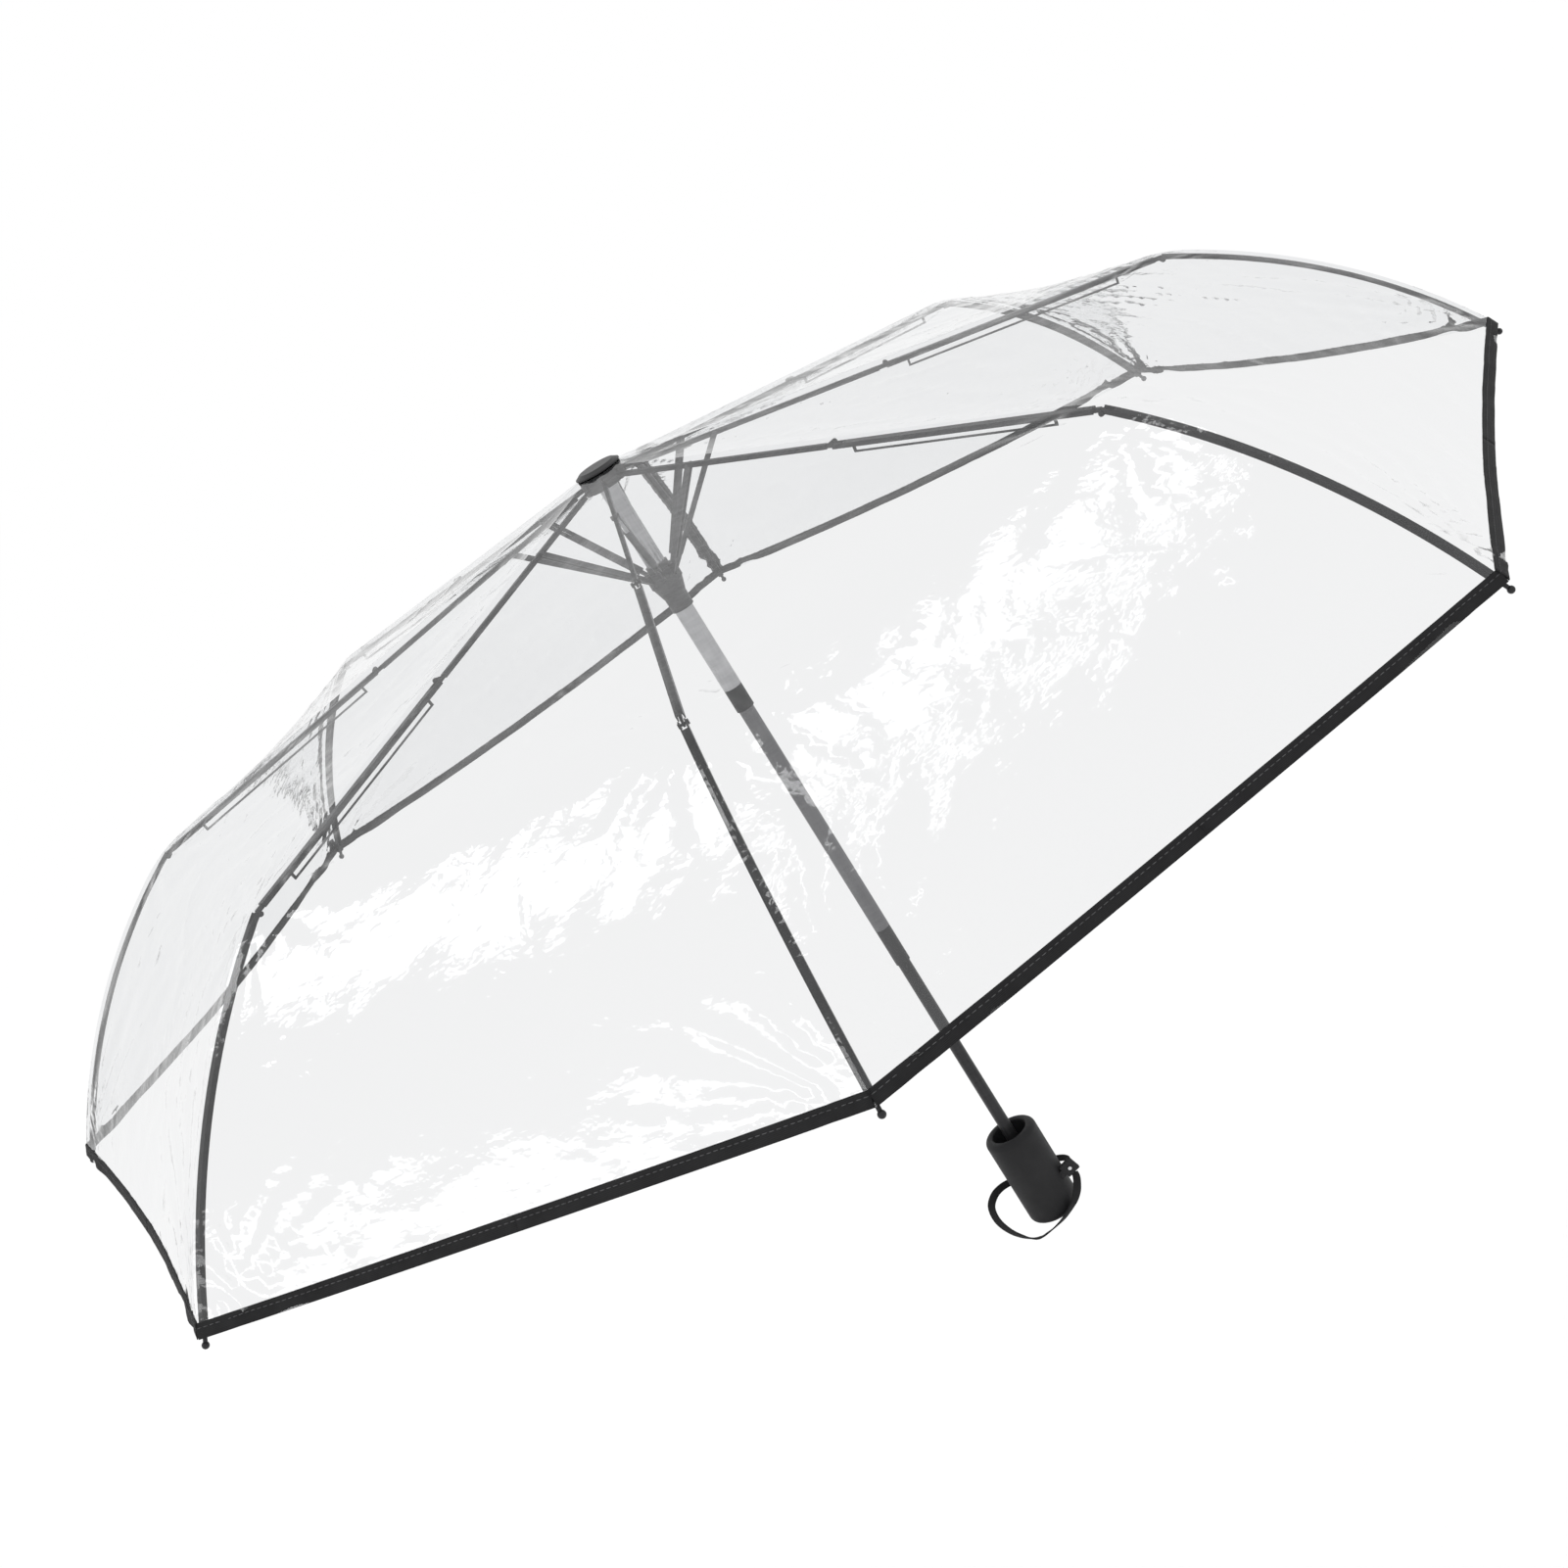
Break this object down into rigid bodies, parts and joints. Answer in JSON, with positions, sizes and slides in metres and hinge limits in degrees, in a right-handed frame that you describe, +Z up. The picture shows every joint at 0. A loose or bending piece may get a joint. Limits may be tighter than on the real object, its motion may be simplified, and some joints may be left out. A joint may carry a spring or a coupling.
{
  "type": "folding umbrella",
  "caption": "Open compact folding umbrella with a clear film dome, black bound rim, jointed ribs on a telescopic shaft, and a charcoal cylinder grip with a wrist strap.",
  "frame": {"origin": "centre of the hand grip, on the shaft axis", "axes": "+Z up the shaft from the grip to the crown cap; -Y towards the first rib; +X towards the strap tab"},
  "size_m": [0.9676, 0.9676, 0.5599],
  "materials": {
    "grip_plastic": "fine matt charcoal",
    "strap_tab": "folded black ribbon with a small rivet",
    "ribbon": "woven black ribbon",
    "lower_tube_paint": "satin black paint",
    "tube_steel": "satin grey",
    "black_plastic": "matt black moulding",
    "wire_steel": "drawn wire",
    "rib_steel": "dark coated steel channel",
    "stretcher_steel": "dark grey coated steel channel",
    "clear_film": "clear soft film with a black bound rim"
  },
  "bodies": {
    "handle": {"handle_grip": "grip_plastic", "strap_anchor": "strap_tab", "wrist_strap": "ribbon", "lower_tube": "lower_tube_paint"},
    "mid_shaft": {"mid_tube": "tube_steel", "mid_tube_bush": "black_plastic"},
    "top_shaft": {"top_tube": "tube_steel", "top_tube_bush": "black_plastic", "crown": "black_plastic", "crown_hinge_wire": "wire_steel", "crown_cap": "black_plastic", "canopy_inner": "clear_film"},
    "runner": {"runner": "black_plastic", "runner_hinge_wire": "wire_steel"},
    "top_rib_0": {"top_rib_0": "rib_steel"},
    "mid_rib_0": {"mid_rib_0": "rib_steel"},
    "outer_rib_0": {"outer_rib_0": "rib_steel", "canopy_outer_0": "clear_film"},
    "stretcher_0": {"stretcher_0": "stretcher_steel"},
    "top_rib_1": {"top_rib_1": "rib_steel"},
    "mid_rib_1": {"mid_rib_1": "rib_steel"},
    "outer_rib_1": {"outer_rib_1": "rib_steel", "canopy_outer_1": "clear_film"},
    "stretcher_1": {"stretcher_1": "stretcher_steel"},
    "top_rib_2": {"top_rib_2": "rib_steel"},
    "mid_rib_2": {"mid_rib_2": "rib_steel"},
    "outer_rib_2": {"outer_rib_2": "rib_steel", "canopy_outer_2": "clear_film"},
    "stretcher_2": {"stretcher_2": "stretcher_steel"},
    "top_rib_3": {"top_rib_3": "rib_steel"},
    "mid_rib_3": {"mid_rib_3": "rib_steel"},
    "outer_rib_3": {"outer_rib_3": "rib_steel", "canopy_outer_3": "clear_film"},
    "stretcher_3": {"stretcher_3": "stretcher_steel"},
    "top_rib_4": {"top_rib_4": "rib_steel"},
    "mid_rib_4": {"mid_rib_4": "rib_steel"},
    "outer_rib_4": {"outer_rib_4": "rib_steel", "canopy_outer_4": "clear_film"},
    "stretcher_4": {"stretcher_4": "stretcher_steel"},
    "top_rib_5": {"top_rib_5": "rib_steel"},
    "mid_rib_5": {"mid_rib_5": "rib_steel"},
    "outer_rib_5": {"outer_rib_5": "rib_steel", "canopy_outer_5": "clear_film"},
    "stretcher_5": {"stretcher_5": "stretcher_steel"},
    "top_rib_6": {"top_rib_6": "rib_steel"},
    "mid_rib_6": {"mid_rib_6": "rib_steel"},
    "outer_rib_6": {"outer_rib_6": "rib_steel", "canopy_outer_6": "clear_film"},
    "stretcher_6": {"stretcher_6": "stretcher_steel"},
    "top_rib_7": {"top_rib_7": "rib_steel"},
    "mid_rib_7": {"mid_rib_7": "rib_steel"},
    "outer_rib_7": {"outer_rib_7": "rib_steel", "canopy_outer_7": "clear_film"},
    "stretcher_7": {"stretcher_7": "stretcher_steel"}
  },
  "joints": [
    {"name": "lower_slide", "type": "slide", "parent": "handle", "child": "mid_shaft", "axis": [0, 0, -1], "range_m": [0, 0.148]},
    {"name": "upper_slide", "type": "slide", "parent": "mid_shaft", "child": "top_shaft", "axis": [0, 0, -1], "range_m": [0, 0.122]},
    {"name": "runner_slide", "type": "slide", "parent": "top_shaft", "child": "runner", "axis": [0, 0, -1], "range_m": [0, 0.0716]},
    {"name": "crown_hinge_0", "type": "hinge", "parent": "top_shaft", "child": "top_rib_0", "pos_m": [0, -0.011, 0.514], "axis": [1, 0, 0], "range_deg": [0, 79.28], "deforming": ["canopy_inner", "canopy_outer_0", "canopy_outer_1", "canopy_outer_2", "canopy_outer_3", "canopy_outer_4", "canopy_outer_5", "canopy_outer_6", "canopy_outer_7"]},
    {"name": "crown_hinge_1", "type": "hinge", "parent": "top_shaft", "child": "top_rib_1", "pos_m": [0.00778, -0.00778, 0.514], "axis": [0.7071, 0.7071, 0], "range_deg": [0, 79.8]},
    {"name": "crown_hinge_2", "type": "hinge", "parent": "top_shaft", "child": "top_rib_2", "pos_m": [0.011, 0, 0.514], "axis": [0, 1, 0], "range_deg": [0, 79.8]},
    {"name": "crown_hinge_3", "type": "hinge", "parent": "top_shaft", "child": "top_rib_3", "pos_m": [0.00778, 0.00778, 0.514], "axis": [-0.7071, 0.7071, 0], "range_deg": [0, 79.8]},
    {"name": "crown_hinge_4", "type": "hinge", "parent": "top_shaft", "child": "top_rib_4", "pos_m": [0, 0.011, 0.514], "axis": [-1, 0, 0], "range_deg": [0, 79.8]},
    {"name": "crown_hinge_5", "type": "hinge", "parent": "top_shaft", "child": "top_rib_5", "pos_m": [-0.00778, 0.00778, 0.514], "axis": [-0.7071, -0.7071, 0], "range_deg": [0, 79.8]},
    {"name": "crown_hinge_6", "type": "hinge", "parent": "top_shaft", "child": "top_rib_6", "pos_m": [-0.011, 0, 0.514], "axis": [0, -1, 0], "range_deg": [0, 79.8]},
    {"name": "crown_hinge_7", "type": "hinge", "parent": "top_shaft", "child": "top_rib_7", "pos_m": [-0.00778, -0.00778, 0.514], "axis": [0.7071, -0.7071, 0], "range_deg": [0, 79.8]},
    {"name": "first_joint_0", "type": "hinge", "parent": "top_rib_0", "child": "mid_rib_0", "pos_m": [0, -0.16939, 0.48687], "axis": [1, 0, 0], "range_deg": [-176.5, 0]},
    {"name": "knee_joint_0", "type": "hinge", "parent": "mid_rib_0", "child": "outer_rib_0", "pos_m": [0, -0.33155, 0.45625], "axis": [1, 0, 0], "range_deg": [0, 148.1]},
    {"name": "stretcher_hinge_0", "type": "hinge", "parent": "runner", "child": "stretcher_0", "pos_m": [0, -0.0085, 0.448], "axis": [1, 0, 0], "range_deg": [-46, 0]},
    {"name": "first_joint_1", "type": "hinge", "parent": "top_rib_1", "child": "mid_rib_1", "pos_m": [0.11978, -0.11978, 0.48687], "axis": [0.7071, 0.7071, 0], "range_deg": [-176.5, 0]},
    {"name": "knee_joint_1", "type": "hinge", "parent": "mid_rib_1", "child": "outer_rib_1", "pos_m": [0.23444, -0.23444, 0.45625], "axis": [0.7071, 0.7071, 0], "range_deg": [0, 148.1]},
    {"name": "stretcher_hinge_1", "type": "hinge", "parent": "runner", "child": "stretcher_1", "pos_m": [0.00601, -0.00601, 0.448], "axis": [0.7071, 0.7071, 0], "range_deg": [-46, 0]},
    {"name": "first_joint_2", "type": "hinge", "parent": "top_rib_2", "child": "mid_rib_2", "pos_m": [0.16939, 0, 0.48687], "axis": [0, 1, 0], "range_deg": [-176.5, 0]},
    {"name": "knee_joint_2", "type": "hinge", "parent": "mid_rib_2", "child": "outer_rib_2", "pos_m": [0.33155, 0, 0.45625], "axis": [0, 1, 0], "range_deg": [0, 148.1]},
    {"name": "stretcher_hinge_2", "type": "hinge", "parent": "runner", "child": "stretcher_2", "pos_m": [0.0085, 0, 0.448], "axis": [0, 1, 0], "range_deg": [-46, 0]},
    {"name": "first_joint_3", "type": "hinge", "parent": "top_rib_3", "child": "mid_rib_3", "pos_m": [0.11978, 0.11978, 0.48687], "axis": [-0.7071, 0.7071, 0], "range_deg": [-176.5, 0]},
    {"name": "knee_joint_3", "type": "hinge", "parent": "mid_rib_3", "child": "outer_rib_3", "pos_m": [0.23444, 0.23444, 0.45625], "axis": [-0.7071, 0.7071, 0], "range_deg": [0, 148.1]},
    {"name": "stretcher_hinge_3", "type": "hinge", "parent": "runner", "child": "stretcher_3", "pos_m": [0.00601, 0.00601, 0.448], "axis": [-0.7071, 0.7071, 0], "range_deg": [-46, 0]},
    {"name": "first_joint_4", "type": "hinge", "parent": "top_rib_4", "child": "mid_rib_4", "pos_m": [0, 0.16939, 0.48687], "axis": [-1, 0, 0], "range_deg": [-176.5, 0]},
    {"name": "knee_joint_4", "type": "hinge", "parent": "mid_rib_4", "child": "outer_rib_4", "pos_m": [0, 0.33155, 0.45625], "axis": [-1, 0, 0], "range_deg": [0, 148.1]},
    {"name": "stretcher_hinge_4", "type": "hinge", "parent": "runner", "child": "stretcher_4", "pos_m": [0, 0.0085, 0.448], "axis": [-1, 0, 0], "range_deg": [-46, 0]},
    {"name": "first_joint_5", "type": "hinge", "parent": "top_rib_5", "child": "mid_rib_5", "pos_m": [-0.11978, 0.11978, 0.48687], "axis": [-0.7071, -0.7071, 0], "range_deg": [-176.5, 0]},
    {"name": "knee_joint_5", "type": "hinge", "parent": "mid_rib_5", "child": "outer_rib_5", "pos_m": [-0.23444, 0.23444, 0.45625], "axis": [-0.7071, -0.7071, 0], "range_deg": [0, 148.1]},
    {"name": "stretcher_hinge_5", "type": "hinge", "parent": "runner", "child": "stretcher_5", "pos_m": [-0.00601, 0.00601, 0.448], "axis": [-0.7071, -0.7071, 0], "range_deg": [-46, 0]},
    {"name": "first_joint_6", "type": "hinge", "parent": "top_rib_6", "child": "mid_rib_6", "pos_m": [-0.16939, 0, 0.48687], "axis": [0, -1, 0], "range_deg": [-176.5, 0]},
    {"name": "knee_joint_6", "type": "hinge", "parent": "mid_rib_6", "child": "outer_rib_6", "pos_m": [-0.33155, 0, 0.45625], "axis": [0, -1, 0], "range_deg": [0, 148.1]},
    {"name": "stretcher_hinge_6", "type": "hinge", "parent": "runner", "child": "stretcher_6", "pos_m": [-0.0085, 0, 0.448], "axis": [0, -1, 0], "range_deg": [-46, 0]},
    {"name": "first_joint_7", "type": "hinge", "parent": "top_rib_7", "child": "mid_rib_7", "pos_m": [-0.11978, -0.11978, 0.48687], "axis": [0.7071, -0.7071, 0], "range_deg": [-176.5, 0]},
    {"name": "knee_joint_7", "type": "hinge", "parent": "mid_rib_7", "child": "outer_rib_7", "pos_m": [-0.23444, -0.23444, 0.45625], "axis": [0.7071, -0.7071, 0], "range_deg": [0, 148.1]},
    {"name": "stretcher_hinge_7", "type": "hinge", "parent": "runner", "child": "stretcher_7", "pos_m": [-0.00601, -0.00601, 0.448], "axis": [0.7071, -0.7071, 0], "range_deg": [-46, 0]}
  ],
  "couplings": [
    {"joint": "crown_hinge_1", "follows": "crown_hinge_0", "ratio": 1},
    {"joint": "crown_hinge_2", "follows": "crown_hinge_0", "ratio": 1},
    {"joint": "crown_hinge_3", "follows": "crown_hinge_0", "ratio": 1},
    {"joint": "crown_hinge_4", "follows": "crown_hinge_0", "ratio": 1},
    {"joint": "crown_hinge_5", "follows": "crown_hinge_0", "ratio": 1},
    {"joint": "crown_hinge_6", "follows": "crown_hinge_0", "ratio": 1},
    {"joint": "crown_hinge_7", "follows": "crown_hinge_0", "ratio": 1},
    {"joint": "first_joint_0", "follows": "crown_hinge_0", "ratio": -2.22},
    {"joint": "knee_joint_0", "follows": "crown_hinge_0", "ratio": 1.8614},
    {"joint": "stretcher_hinge_0", "follows": "crown_hinge_0", "ratio": -0.5736},
    {"joint": "first_joint_1", "follows": "crown_hinge_0", "ratio": -2.22},
    {"joint": "knee_joint_1", "follows": "crown_hinge_0", "ratio": 1.8614},
    {"joint": "stretcher_hinge_1", "follows": "crown_hinge_0", "ratio": -0.5736},
    {"joint": "first_joint_2", "follows": "crown_hinge_0", "ratio": -2.22},
    {"joint": "knee_joint_2", "follows": "crown_hinge_0", "ratio": 1.8614},
    {"joint": "stretcher_hinge_2", "follows": "crown_hinge_0", "ratio": -0.5736},
    {"joint": "first_joint_3", "follows": "crown_hinge_0", "ratio": -2.22},
    {"joint": "knee_joint_3", "follows": "crown_hinge_0", "ratio": 1.8614},
    {"joint": "stretcher_hinge_3", "follows": "crown_hinge_0", "ratio": -0.5736},
    {"joint": "first_joint_4", "follows": "crown_hinge_0", "ratio": -2.22},
    {"joint": "knee_joint_4", "follows": "crown_hinge_0", "ratio": 1.8614},
    {"joint": "stretcher_hinge_4", "follows": "crown_hinge_0", "ratio": -0.5736},
    {"joint": "first_joint_5", "follows": "crown_hinge_0", "ratio": -2.22},
    {"joint": "knee_joint_5", "follows": "crown_hinge_0", "ratio": 1.8614},
    {"joint": "stretcher_hinge_5", "follows": "crown_hinge_0", "ratio": -0.5736},
    {"joint": "first_joint_6", "follows": "crown_hinge_0", "ratio": -2.22},
    {"joint": "knee_joint_6", "follows": "crown_hinge_0", "ratio": 1.8614},
    {"joint": "stretcher_hinge_6", "follows": "crown_hinge_0", "ratio": -0.5736},
    {"joint": "first_joint_7", "follows": "crown_hinge_0", "ratio": -2.22},
    {"joint": "knee_joint_7", "follows": "crown_hinge_0", "ratio": 1.8614},
    {"joint": "stretcher_hinge_7", "follows": "crown_hinge_0", "ratio": -0.5736},
    {"joint": "runner_slide", "follows": "crown_hinge_0", "m_per_rad": 0.05138}
  ]
}
